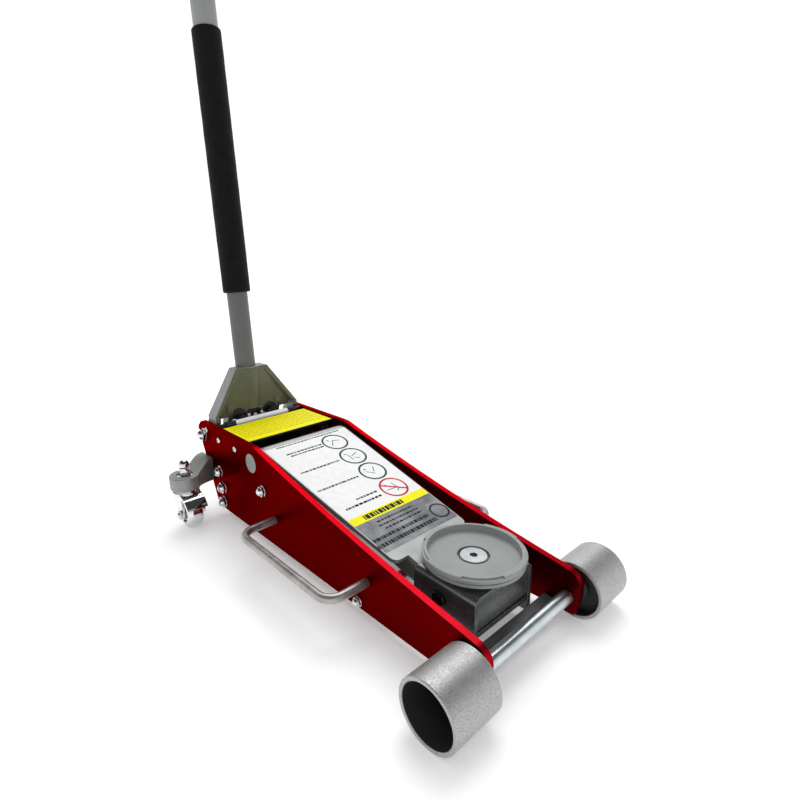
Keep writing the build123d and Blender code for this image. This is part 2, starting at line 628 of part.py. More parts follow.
def bracket_pin(sign):
    """Stub pin inside the bracket that carries the front eye of a parallel link."""
    shank = rod_y(BRACKET_PIN_BACK, BRACKET_PIN_Z, LINK_PIN_R, sign * (LINK_IN - 0.9), sign * (WALL_OUT + 3))
    collar = rod_y(BRACKET_PIN_BACK, BRACKET_PIN_Z, 7.0, sign * (LINK_OUT + 0.5), sign * (LINK_OUT + 2.5))
    head = rod_y(BRACKET_PIN_BACK, BRACKET_PIN_Z, 7.5, sign * (WALL_OUT + 0.02), sign * (WALL_OUT + 3))
    return shank + collar + head


def link_bar(sign):
    """Flat bar parallel to the lift arm, between the frame and the saddle bracket."""
    bar = outline([(LINK_BACK, LINK_Z + 7), (BRACKET_PIN_BACK, BRACKET_PIN_Z + 7),
                   (BRACKET_PIN_BACK, BRACKET_PIN_Z - 7), (LINK_BACK, LINK_Z - 7)])
    sketch = bar + disc(LINK_BACK, LINK_Z, 10.0) + disc(BRACKET_PIN_BACK, BRACKET_PIN_Z, 8.0)
    sketch -= disc(LINK_BACK, LINK_Z, LINK_BOLT_R + FIT)
    sketch -= disc(BRACKET_PIN_BACK, BRACKET_PIN_Z, LINK_PIN_R + 0.3)
    return plate_xz(sketch, sign * LINK_IN, sign * LINK_OUT)


def saddle():
    """Round dished saddle with a stepped rim and a groove round its outside."""
    profile = [(8.0 + FIT, BRACKET_TOP + 0.3), (46, BRACKET_TOP + 0.3), (48, 82.0), (54.5, 84.5),
               (57.0, 87.0), (59.4, 88.2), (59.4, 91.6), (57.8, 92.2), (57.8, 93.4), (SADDLE_R, 94.0),
               (SADDLE_R, SADDLE_TOP - 0.8), (SADDLE_R - 0.8, SADDLE_TOP), (DISH_R + 1.5, SADDLE_TOP),
               (DISH_R, DISH_Z), (19.0, DISH_Z), (19.0, DISH_Z - 4.5), (8.0 + FIT, DISH_Z - 4.5)]
    plane = Plane(origin=(at(SADDLE_BACK), 0, 0), x_dir=(1, 0, 0), z_dir=(0, -1, 0))
    body = revolve(plane * make_face(Polyline(*profile, close=True)),
                   Axis((at(SADDLE_BACK), 0, 0), (0, 0, 1)), 360)
    for start in (25, 115, 205, 295):
        sector = make_face(Polyline((0, 0), *[(80 * math.cos(math.radians(start + a)),
                                               80 * math.sin(math.radians(start + a)))
                                              for a in (0, 15, 30, 45)], close=True))
        cutter = extrude(sector, 10) - Cylinder(57.6, 30)
        body -= Pos(at(SADDLE_BACK), 0, SADDLE_TOP - 2.2) * cutter
    return body


def saddle_screw():
    """Flat-headed socket screw through the saddle and the bracket's boss, with its retaining nut."""
    x = at(SADDLE_BACK)
    head = rod_z(x, 0, 16.5, DISH_Z - 4.45, DISH_Z - 0.2)
    head = chamfer(head.edges().filter_by(GeomType.CIRCLE).sort_by(Axis.Z)[-1], 1.0)
    shank = rod_z(x, 0, 8.0, 63.5, DISH_Z - 4.45)
    clip = rod_z(x, 0, 12.0, 63.5, 66.7)
    socket = Pos(x, 0, DISH_Z - 3.6) * extrude(RegularPolygon(5.0, 6), 5)
    return head + shank + clip - socket


def build_saddle():
    save("saddle_bracket", saddle_bracket())
    save("bracket_link_pins", *[bracket_pin(s) for _, s in sides()])
    for name, s in sides():
        save(f"link_bar_{name}", link_bar(s))
    save("saddle", saddle())
    save("saddle_screw", saddle_screw())


# ---------------------------------------------------------------- ram
def crosshead():
    """Block on the ram with an upright slot in which the arm's pin rides."""
    body = block(EAR_BACK + 15, EAR_BACK - 15, -12, 12, 47, 98)
    slot = block(EAR_BACK + 9.6, EAR_BACK - 9.4, -20, 20, 72 - 8.5, 82 + 8.5)
    return body - slot - rod_y(EAR_BACK, SPRING_Z, 4.0 + FIT, -20, 20)


def ram_rod():
    rod = rod_x(553, EAR_BACK + 15.05, 0, RAM_Z, RAM_R)
    return rod + rod_x(553, 547, 0, RAM_Z, CYLINDER_BORE - 0.1)


def spring_pin():
    return rod_y(EAR_BACK, SPRING_Z, 4.0, -46, 46)


def return_spring(sign):
    """Extension spring from the anchor rod's eye to the crosshead's pin."""
    length = 537 - EAR_BACK - 5.0
    plane = Plane(origin=(at(536.5), sign * SPRING_Y, SPRING_Z), x_dir=(0, 1, 0), z_dir=(1, 0, 0))
    return plane * coil(length, 6.5, 1.8, 16)


def build_ram():
    save("crosshead", crosshead())
    save("ram_rod", ram_rod())
    save("spring_pin", spring_pin())
    save("return_springs", *[return_spring(s) for _, s in sides()])


# ---------------------------------------------------------------- handle and pump
def handle_plane(distance=0.0):
    """Plane across the handle at a distance from its pivot, Z along the handle."""
    lean = math.radians(LEAN)
    direction = Vector(-math.sin(lean), 0, math.cos(lean))
    origin = Vector(at(PIVOT_BACK), 0, PIVOT_Z) + direction * distance
    return Plane(origin=origin, x_dir=(math.cos(lean), 0, math.sin(lean)), z_dir=direction)


def along(radius, start, end, inner=0.0):
    """Tube or rod along the handle."""
    tube = Cylinder(radius, end - start, align=(Align.CENTER, Align.CENTER, Align.MIN))
    if inner > 0:
        tube -= Cylinder(inner, end - start, align=(Align.CENTER, Align.CENTER, Align.MIN))
    return handle_plane(start) * tube


YOKE_EAR_IN = 73.0
YOKE_EAR_OUT = 82.3
LEDGE_Z = 240.0               # flat top of the yoke's wings
WEB_FRONT = 574.0             # upright web between the wings' flanges
WEB_REAR = 580.5
ROLLER_RADIUS_OUT = 20.0      # pump rollers turn this far from the yoke's pivot
CAM_ANGLE = -120.0
CAM_X = ROLLER_RADIUS_OUT * math.cos(math.radians(CAM_ANGLE))
CAM_Z = ROLLER_RADIUS_OUT * math.sin(math.radians(CAM_ANGLE))


def yoke():
    """Cast handle socket with triangular wings, two pivot ears and two pump lugs."""
    front = make_face(Polyline((-82.3, 157), (82.3, 157), (82.3, 165), (31, LEDGE_Z), (-31, LEDGE_Z),
                               (-82.3, 165), close=True))
    front = fillet(front.vertices().group_by(Axis.Y)[-1], 5.0)
    for y, z, radius in ((-31, 155, 15.0), (0, 150, 18.0), (32, 155, 14.5)):
        front -= Pos(y, z) * Circle(radius)
    behind_all = Plane(origin=(at(640), 0, 0), x_dir=(0, 1, 0), z_dir=(1, 0, 0))
    wings = extrude(behind_all * front, amount=120)
    side = outline([(585.5, 155), (557.5, 155), (573.0, LEDGE_Z), (597.0, LEDGE_Z)])
    wings &= plate_xz(side, -90, 90)
    inner = make_face(Polyline((-77, 150), (77, 150), (77, 164.5), (27, LEDGE_Z - 7), (-27, LEDGE_Z - 7),
                               (-77, 164.5), close=True))
    hollow = extrude(behind_all * inner, amount=120)
    wings -= hollow - block(WEB_FRONT, WEB_REAR, -90, 90, 140, 260)
    socket = handle_plane(30) * Cone(19.8, 25.0, 74, align=(Align.CENTER, Align.CENTER, Align.MIN))
    lip = along(26.0, 99.5, 105.0)
    body = wings + socket + fillet(lip.edges().filter_by(GeomType.CIRCLE), 1.2)
    for s in (-1, 1):
        ear = make_hull((disc(PIVOT_BACK, PIVOT_Z, 13.5) + Pos(at(571.5), 160) * Rectangle(26, 6)).edges())
        body += plate_xz(ear, s * YOKE_EAR_IN, s * YOKE_EAR_OUT)
        lug = make_hull((disc(PIVOT_BACK - CAM_X, PIVOT_Z + CAM_Z, 8.0)
                         + Pos(at(577), 172) * Rectangle(16, 10)).edges())
        body += plate_xz(lug, s * 44.5, s * 52.5)
        body -= rod_y(PIVOT_BACK - CAM_X, PIVOT_Z + CAM_Z, 4.0 + FIT, s * 40, s * 60)
        body -= rod_y(PIVOT_BACK, PIVOT_Z, HANDLE_HOLE_R + FIT, s * 70, s * 90)
    return body - along(LOWER_R + FIT, 20, 130)


def pump_roller(sign):
    """Roller and stub axle that push one pump plunger."""
    wheel = rod_y(PIVOT_BACK - CAM_X, PIVOT_Z + CAM_Z, 8.5, sign * 14.5, sign * 44.0)
    return wheel + rod_y(PIVOT_BACK - CAM_X, PIVOT_Z + CAM_Z, 4.0, sign * 44.0, sign * 54.0)


def drive_end():
    """Plug in the foot of the handle tube with the ball that turns the release valve."""
    plug = along(LOWER_R - 2.55, LOWER_START, LOWER_START + 14)
    stem = along(4.0, 3.0, LOWER_START)
    return plug + stem + Pos(at(PIVOT_BACK), 0, PIVOT_Z) * Sphere(6.0)


def foam_grip():
    grip = along(GRIP_R, GRIP_LOW, GRIP_HIGH)
    grip = fillet(grip.edges().filter_by(GeomType.CIRCLE), 3.0)
    grip -= along(LOWER_R + 0.02, GRIP_LOW - 5, UPPER_START)
    return grip - along(UPPER_R + 0.02, UPPER_START - 1, 700)


def end_grip():
    """Moulded hand grip that closes the top of the handle."""
    grip = along(UPPER_R + 3.6, HANDLE_END - 125, HANDLE_END)
    grip = fillet(grip.edges().filter_by(GeomType.CIRCLE), 3.0)
    for turn in range(7):
        start = HANDLE_END - 110 + turn * 13
        grip -= along(UPPER_R + 6, start, start + 4, UPPER_R + 2.6)
    return grip - along(UPPER_R + 0.02, HANDLE_END - 130, HANDLE_END - 4)


def release_valve():
    """Valve spindle with the cup that the handle's ball turns."""
    x = at(PIVOT_BACK)
    cup = rod_z(x, 0, 10.5, 119, 131.0) + rod_z(x, 0, 6.0, 90, 119.5)
    return cup - Pos(x, 0, PIVOT_Z) * Sphere(6.4)


def pump_plunger(sign):
    rod = rod_x(582.5, 532, sign * PUMP_Y, PUMP_Z, 7.0)
    return rod + rod_x(586.7, 582.5, sign * PUMP_Y, PUMP_Z, 10.0)


def pump_spring(sign):
    plane = Plane(origin=(at(582.2), sign * PUMP_Y, PUMP_Z), x_dir=(0, 1, 0), z_dir=(1, 0, 0))
    return plane * coil(35.8, 9.8, 1.8, 6)


def build_handle():
    save("handle_yoke", yoke())
    save("pump_rollers", *[pump_roller(s) for _, s in sides()])
    save("handle_drive_end", drive_end())
    save("handle_lower_tube", along(LOWER_R, LOWER_START, LOWER_END, LOWER_R - 2.5))
    save("handle_upper_tube", along(UPPER_R, UPPER_START, HANDLE_END - 4, LOWER_R + FIT))
    save("foam_grip", foam_grip())
    save("handle_end_grip", end_grip())
    save("release_valve", release_valve())
    save("pump_plungers", *[pump_plunger(s) for _, s in sides()])
    save("pump_springs", *[pump_spring(s) for _, s in sides()])


build_frame()
build_wheels()
build_arm()
build_saddle()
build_ram()
build_handle()
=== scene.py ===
import math
import random

import bmesh
import bpy
from mathutils import Matrix, Vector


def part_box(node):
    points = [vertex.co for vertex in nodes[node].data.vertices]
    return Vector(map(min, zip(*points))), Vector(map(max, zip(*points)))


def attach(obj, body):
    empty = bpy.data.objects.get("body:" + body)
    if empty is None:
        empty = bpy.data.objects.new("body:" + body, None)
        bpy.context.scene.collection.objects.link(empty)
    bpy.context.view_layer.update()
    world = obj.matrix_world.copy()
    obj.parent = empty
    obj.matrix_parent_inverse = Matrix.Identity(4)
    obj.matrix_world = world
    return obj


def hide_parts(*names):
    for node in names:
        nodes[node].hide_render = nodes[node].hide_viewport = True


# Looks of a low-profile hydraulic trolley jack, in metres, in the CAD model's own frame.
# +X points to the saddle end, +Y to the left-hand side plate, +Z up.

MM = 0.001
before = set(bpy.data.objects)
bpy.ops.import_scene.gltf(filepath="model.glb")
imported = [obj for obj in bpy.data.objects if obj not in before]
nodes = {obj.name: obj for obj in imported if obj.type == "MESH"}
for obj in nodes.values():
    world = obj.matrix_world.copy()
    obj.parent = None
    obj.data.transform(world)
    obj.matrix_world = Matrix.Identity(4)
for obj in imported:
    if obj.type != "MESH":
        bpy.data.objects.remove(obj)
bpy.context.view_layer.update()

# ---------------------------------------------------------------- driving values
ARM_SLOPE = math.radians(13.39)       # fall of the lift arm's top plate towards the saddle
ARM_PLATE_T = 5.0 * MM
ARM_NARROWING = 12.1 / 287.8          # how fast each side of that plate draws in along the slope
HANDLE_LEAN = math.radians(4.6)
ROLLER_WALL = 4.8 * MM
FOAM_BORE = 18.05 * MM                # radius
FILM = 0.12 * MM                      # thickness of a label
INK = 0.03 * MM                       # height of its print
SEED = 7
MIX_FIRST, MIX_SECOND, MIX_RESULT = 6, 7, 2    # a Mix node's sockets for colours

# Lines of print on the lift arm, in mm: distance down the slope, right end, left end, height.
ARM_PRINT = (
    (10.0, -58, 62, 2.8), (32.0, -54, 11, 3.2), (38.5, -50, 11, 3.2), (82.5, -62, 8, 3.3),
    (129.5, -66, 6, 3.3), (170.5, -31, 7, 3.2), (180.5, -57, 6, 3.8), (203.2, -47, 24, 8.6),
    (221.0, -38, 26, 2.9), (228.5, -40, 30, 2.9), (236.0, -36, 30, 2.9), (245.5, -66, 34, 5.2),
    (256.0, -68, 36, 6.4))
PICTOGRAMS = 4
RING_FIRST, RING_STEP, RING_ASIDE = 38.0 * MM, 46.4 * MM, 34.6 * MM
RING_OUTER, RING_INNER = 21.8 * MM, 18.7 * MM

# Arches along the bottom of the yoke's web, in mm: sideways, height and radius of each.
YOKE_ARCHES = ((-31, 155, 15.0), (0, 150, 18.0), (32, 155, 14.5))


# ---------------------------------------------------------------- camera, lights and floor
def add_object(name, data):
    """Links a new object at the origin of the row frame."""
    thing = bpy.data.objects.new(name, data)
    bpy.context.scene.collection.objects.link(thing)
    return thing


def make_camera():
    """The photograph's view, from the saddle end and the right-hand side."""
    data = bpy.data.cameras.new("camera")
    data.sensor_width = 36.0
    data.lens = 23.776
    data.shift_x = 0.0373
    data.shift_y = -0.0314
    data.clip_start = 0.02
    data.clip_end = 200.0
    camera = add_object("camera", data)
    place = (0.5939, -0.4486, 0.4401)
    azimuth, elevation, roll = (math.radians(a) for a in (48.834, 13.390, -1.315))
    back = Vector((math.sin(azimuth) * math.cos(elevation), -math.cos(azimuth) * math.cos(elevation),
                   math.sin(elevation)))
    right = (-back).cross(Vector((0, 0, 1))).normalized()
    up = back.cross(right)
    axes = Matrix((right, up, back)).transposed() @ Matrix.Rotation(roll, 3, "Z")
    camera.matrix_world = Matrix.Translation(place) @ axes.to_4x4()
    bpy.context.scene.camera = camera


def make_sun(name, towards, strength, angle):
    """Soft studio light from a direction; its angle is how wide the softbox looks, in degrees."""
    data = bpy.data.lights.new(name, "SUN")
    data.energy = strength
    data.angle = math.radians(angle)
    light = add_object(name, data)
    light.matrix_world = Vector(towards).to_track_quat("Z", "Y").to_matrix().to_4x4()


def make_world():
    """White to the camera and pale grey as light; mirrored, it is white low down and dark overhead."""
    world = bpy.data.worlds.new("studio")
    world.use_nodes = True
    tree = world.node_tree
    background = tree.nodes["Background"]
    direction = tree.nodes.new("ShaderNodeTexCoord")
    split = tree.nodes.new("ShaderNodeSeparateXYZ")
    mirrored = tree.nodes.new("ShaderNodeValToRGB")
    rays = tree.nodes.new("ShaderNodeLightPath")
    lit, seen = (tree.nodes.new("ShaderNodeMix") for _ in range(2))
    lit.data_type = seen.data_type = "RGBA"
    lit.inputs[MIX_FIRST].default_value = (0.72, 0.72, 0.73, 1)
    seen.inputs[MIX_SECOND].default_value = (1, 1, 1, 1)
    tree.links.new(direction.outputs["Generated"], split.inputs[0])
    tree.links.new(split.outputs["Z"], mirrored.inputs[0])
    tree.links.new(rays.outputs["Is Glossy Ray"], lit.inputs[0])
    tree.links.new(mirrored.outputs["Color"], lit.inputs[MIX_SECOND])
    tree.links.new(rays.outputs["Is Camera Ray"], seen.inputs[0])
    tree.links.new(lit.outputs[MIX_RESULT], seen.inputs[MIX_FIRST])
    tree.links.new(seen.outputs[MIX_RESULT], background.inputs["Color"])
    stops = mirrored.color_ramp.elements
    stops[0].position = 0.34
    stops[0].color = (0.95, 0.96, 0.97, 1)
    stops[1].position = 0.62
    stops[1].color = (0.05, 0.05, 0.055, 1)
    background.inputs["Strength"].default_value = 1.06
    bpy.context.scene.world = world


def make_floor():
    """Plain pale floor, with a little glow of its own that brings it near the white behind it."""
    half_side = 30.0
    mesh = bpy.data.meshes.new("floor")
    form = bmesh.new()
    bmesh.ops.create_grid(form, x_segments=8, y_segments=8, size=half_side)
    form.to_mesh(mesh)
    form.free()
    floor = add_object("floor", mesh)
    finish = Finish("floor", {"Roughness": 0.9, "Specular IOR Level": 0.1, "Emission Color": (1, 1, 1, 1),
                              "Emission Strength": 0.22})
    finish.colour(finish.mix(finish.noise(3.0), (0.86, 0.86, 0.86), (0.88, 0.88, 0.88)))
    floor.data.materials.append(finish.material)


# ---------------------------------------------------------------- materials
class Finish:
    """One procedural material; each method adds a node and returns its output."""

    def __init__(self, name, constants=None):
        self.material = bpy.data.materials.new(name)
        self.material.use_nodes = True
        self.tree = self.material.node_tree
        self.shader = self.tree.nodes["Principled BSDF"]
        self.where = self.node("ShaderNodeTexCoord").outputs["Object"]
        for socket, value in (constants or {}).items():
            self.shader.inputs[socket].default_value = value

    def node(self, kind, inputs=None, **settings):
        made = self.tree.nodes.new(kind)
        for key, value in settings.items():
            setattr(made, key, value)
        for key, value in (inputs or {}).items():
            self.put(made.inputs[key], value)
        return made

    def put(self, socket, value):
        if isinstance(value, bpy.types.NodeSocket):
            self.tree.links.new(value, socket)
        elif socket.type == "RGBA":
            socket.default_value = (*value, 1.0)
        else:
            socket.default_value = value

    def stretched(self, factors):
        """Place multiplied along X, Y and Z, for grain that runs one way."""
        return self.node("ShaderNodeVectorMath", {0: self.where, 1: factors}, operation="MULTIPLY").outputs[0]

    def noise(self, scale, detail=3.0, place=None):
        made = self.node("ShaderNodeTexNoise", {"Vector": place or self.where, "Scale": scale,
                                               "Detail": detail, "Roughness": 0.55})
        return made.outputs["Fac"]

    def cells(self, scale):
        made = self.node("ShaderNodeTexVoronoi", {"Vector": self.where, "Scale": scale})
        return made.outputs["Distance"]

    def remap(self, value, low, high, to_low, to_high):
        made = self.node("ShaderNodeMapRange", {"Value": value, "From Min": low, "From Max": high,
                                                "To Min": to_low, "To Max": to_high})
        return made.outputs["Result"]

    def spread(self, noise, low=0.0, high=1.0):
        """Stretches the range that noise mostly takes between two values."""
        return self.remap(noise, 0.3, 0.7, low, high)

    def math(self, operation, first, second=0.0):
        return self.node("ShaderNodeMath", {0: first, 1: second}, operation=operation).outputs[0]

    def mix(self, factor, first, second):
        made = self.node("ShaderNodeMix", {0: factor, MIX_FIRST: first, MIX_SECOND: second},
                         data_type="RGBA")
        return made.outputs[MIX_RESULT]

    def facing(self, axis):
        """How squarely the surface faces along one of its object's own axes, 0 to 1."""
        turned = self.node("ShaderNodeSeparateXYZ", {0: self.node("ShaderNodeTexCoord").outputs["Normal"]})
        return self.math("ABSOLUTE", turned.outputs[axis])

    def edges(self, radius, spread):
        """1 on edges that a bevel of that radius would round, falling to 0 on flats."""
        bevel = self.node("ShaderNodeBevel", {"Radius": radius}, samples=4)
        true = self.node("ShaderNodeNewGeometry").outputs["Normal"]
        agree = self.node("ShaderNodeVectorMath", {0: bevel.outputs[0], 1: true}, operation="DOT_PRODUCT")
        return self.remap(agree.outputs["Value"], 1.0 - spread, 0.995, 1.0, 0.0)

    def soften(self, radius):
        """Rounds the shading of sharp edges."""
        return self.node("ShaderNodeBevel", {"Radius": radius}, samples=4).outputs[0]

    def bump(self, height, distance, strength=1.0, normal=None):
        inputs = {"Height": height, "Distance": distance, "Strength": strength}
        if normal is not None:
            inputs["Normal"] = normal
        return self.node("ShaderNodeBump", inputs).outputs[0]

    def colour(self, value):
        self.put(self.shader.inputs["Base Color"], value)

    def roughness(self, value):
        self.put(self.shader.inputs["Roughness"], value)

    def normal(self, value):
        self.put(self.shader.inputs["Normal"], value)

    def length_from(self, centre, mask):
        """Distance from a line through centre, along the axis that mask leaves out."""
        offset = self.node("ShaderNodeVectorMath", {0: self.where, 1: centre}, operation="SUBTRACT")
        flat = self.node("ShaderNodeVectorMath", {0: offset.outputs[0], 1: mask}, operation="MULTIPLY")
        return self.node("ShaderNodeVectorMath", {0: flat.outputs[0]}, operation="LENGTH").outputs["Value"]


def red_anodised():
    """Deep red anodised plate: satin rolled faces, and a painted highlight that makes every face not turned
    sideways a brighter red, for light on its edges.
    """
    finish = Finish("plate_red", {"Metallic": 1.0, "Specular Tint": (0.75, 0.03, 0.04, 1)})
    blotch = finish.noise(9.0)
    grain = finish.noise(1500.0, 2.0, finish.stretched((0.25, 1, 1)))
    face = finish.mix(blotch, (0.082, 0.0022, 0.0032), (0.110, 0.0030, 0.0044))
    # Painted highlight: faces that don't face sideways, such as the top edges, take a brighter red standing
    # in for the light falling on them.
    flat = finish.remap(finish.facing("Y"), 0.30, 0.70, 0.0, 1.0)
    body = finish.mix(flat, (0.36, 0.007, 0.014), face)
    finish.colour(finish.mix(finish.remap(grain, 0.35, 0.7, 0.0, 0.25), body, (0.22, 0.008, 0.010)))
    finish.roughness(finish.spread(finish.noise(40.0), 0.30, 0.40))
    finish.normal(finish.bump(grain, 0.02 * MM, 0.5))
    return finish.material


def shot_blasted(name, centre, bore):
    """Bright cast alloy with a fine speckle, and painted shade inside its bore: near-black colour for the
    shadow in there.
    """
    finish = Finish(name)
    speckle = finish.noise(1100.0, 2.0)
    coarse = finish.noise(300.0)
    fine = finish.mix(finish.remap(speckle, 0.38, 0.62, 0.0, 1.0), (0.30, 0.30, 0.295), (0.56, 0.56, 0.555))
    metal = finish.mix(finish.spread(finish.noise(28.0), 0.0, 0.35), fine, (0.40, 0.40, 0.395))
    # Painted shade: inside the bore the colour turns near black and non-metallic, with faint lathe marks,
    # standing in for the shadow within the roller.
    outward = finish.length_from(centre, (1, 0, 1))
    shell = finish.remap(outward, bore - 0.1 * MM, bore + 0.1 * MM, 0.0, 1.0)
    lathe = finish.noise(900.0, 1.0, finish.stretched((0.02, 1, 0.02)))
    dark = finish.mix(lathe, (0.012, 0.013, 0.013), (0.035, 0.037, 0.037))
    finish.colour(finish.mix(shell, dark, metal))
    finish.put(finish.shader.inputs["Metallic"], finish.remap(shell, 0.0, 1.0, 0.0, 0.85))
    finish.roughness(finish.spread(coarse, 0.42, 0.56))
    smooth = finish.soften(0.5 * MM)
    finish.normal(finish.bump(speckle, 0.12 * MM, 0.55, finish.bump(coarse, 0.12 * MM, 0.5, smooth)))
    return finish.material



def painted(name, dark, light, rough=(0.38, 0.48), metallic=0.0, edge=None, grain=0.03 * MM, soft=0.5 * MM):
    """Sprayed paint on cast or pressed metal, with a painted highlight in patches along its edges for light
    catching them.
    """
    finish = Finish(name, {"Metallic": metallic})
    peel = finish.noise(650.0, 2.0)
    body = finish.mix(finish.spread(finish.noise(22.0)), dark, light)
    # Painted highlight: the edge colour, in patches along the edges, stands in for light catching them.
    if edge:
        patches = finish.remap(finish.noise(160.0), 0.35, 0.6, 0.45, 1.0)
        edge_highlight_patches = finish.math("MULTIPLY", finish.edges(0.7 * MM, 0.22), patches)
        body = finish.mix(edge_highlight_patches, body, edge)
    finish.colour(body)
    finish.roughness(finish.spread(finish.noise(75.0), *rough))
    finish.normal(finish.bump(peel, grain, 0.6, finish.soften(soft)))
    return finish.material


def plated(name, dark, light, rough, scratch=0.3):
    """Bright plated or polished steel with fine scratches and cloudy patches."""
    finish = Finish(name, {"Metallic": 1.0})
    lines = finish.noise(1400.0, 2.0, finish.stretched((1, 0.06, 1)))
    cloud = finish.noise(60.0)
    finish.colour(finish.mix(finish.spread(cloud), dark, light))
    wavy = finish.math("ADD", finish.math("MULTIPLY", lines, scratch), finish.math("MULTIPLY", cloud, 0.5))
    finish.roughness(finish.remap(wavy, 0.2, 0.8, *rough))
    finish.normal(finish.bump(lines, 0.006 * MM, scratch, finish.soften(0.3 * MM)))
    return finish.material


def foam_rubber():
    """Closed-cell foam sleeve: nearly black, matt, with fine pores."""
    finish = Finish("foam", {"Sheen Weight": 0.03, "Sheen Roughness": 0.5, "Specular IOR Level": 0.15})
    pores = finish.cells(1300.0)
    wide = finish.noise(55.0)
    pitted = finish.remap(pores, 0.1, 0.6, 0.0, 1.0)
    finish.colour(finish.mix(pitted, (0.0008, 0.0008, 0.0008), (0.0035, 0.0035, 0.004)))
    finish.roughness(finish.spread(wide, 0.62, 0.80))
    finish.normal(finish.bump(pores, 0.25 * MM, 0.5, finish.bump(wide, 0.5 * MM, 0.3)))
    return finish.material


def printed(name, first, second):
    """Printed vinyl film: a faint mottle and an orange-peel gloss."""
    finish = Finish(name, {"Specular IOR Level": 0.12})
    finish.colour(finish.mix(finish.spread(finish.noise(120.0)), first, second))
    finish.roughness(finish.spread(finish.noise(45.0), 0.50, 0.62))
    finish.normal(finish.bump(finish.noise(240.0, 2.0), 0.02 * MM, 0.4))
    return finish.material


def brushed_film(name):
    """Silver-grey film with a cloudy brushed print."""
    finish = Finish(name, {"Metallic": 0.2, "Specular IOR Level": 0.2})
    streaks = finish.noise(260.0, 3.0, finish.stretched((1.0, 0.12, 1.0)))
    cloud = finish.noise(38.0, 4.0)
    body = finish.mix(finish.spread(streaks), (0.075, 0.080, 0.088), (0.14, 0.147, 0.155))
    finish.colour(finish.mix(finish.remap(cloud, 0.42, 0.72, 0.0, 0.6), body, (0.34, 0.35, 0.36)))
    finish.roughness(finish.spread(cloud, 0.28, 0.42))
    finish.normal(finish.bump(streaks, 0.01 * MM, 0.4))
    return finish.material


def bare_steel(name, dark, light, rough):
    """Bead-blasted or scaled steel with stains."""
    finish = Finish(name, {"Metallic": 0.9})
    grit = finish.noise(900.0, 3.0)
    stain = finish.noise(45.0, 4.0)
    body = finish.mix(finish.remap(stain, 0.35, 0.65, 0.0, 1.0), dark, light)
    finish.colour(finish.mix(finish.remap(grit, 0.45, 0.75, 0.0, 0.4), body, tuple(0.6 * c for c in dark)))
    finish.roughness(finish.spread(stain, *rough))
    finish.normal(finish.bump(grit, 0.05 * MM, 0.5, finish.soften(0.3 * MM)))
    return finish.material


def cast_yoke():
    """Grey sprayed casting with painted light by facing: paler flanges where light falls, a darker olive
    painted shade on the upright web for shadow and yellow light thrown back from the cover.
    """
    finish = Finish("yoke_grey", {"Metallic": 0.25})
    # Painted light: faces turned along X count as the shaded web, the rest as the lit flanges.
    upright = finish.remap(finish.facing("X"), 0.35, 0.75, 0.0, 1.0)
    cloud = finish.spread(finish.noise(22.0))
    web_painted_shade = finish.mix(cloud, (0.085, 0.090, 0.052), (0.115, 0.120, 0.072))
    flange_painted_light = finish.mix(cloud, (0.235, 0.25, 0.24), (0.285, 0.30, 0.29))
    body = finish.mix(upright, flange_painted_light, web_painted_shade)
    # Painted highlight along the edges.
    finish.colour(finish.mix(finish.edges(0.7 * MM, 0.22), body, (0.42, 0.43, 0.40)))
    finish.roughness(finish.spread(finish.noise(75.0), 0.36, 0.46))
    finish.normal(finish.bump(finish.noise(650.0, 2.0), 0.05 * MM, 0.6, finish.soften(0.5 * MM)))
    return finish.material


def roller_bore(node):
    """Middle of a roller, and a radius just outside its bore."""
    low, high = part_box(node)
    outer = (high.z - low.z) / 2
    return (low + high) / 2, outer - ROLLER_WALL + 0.3 * MM



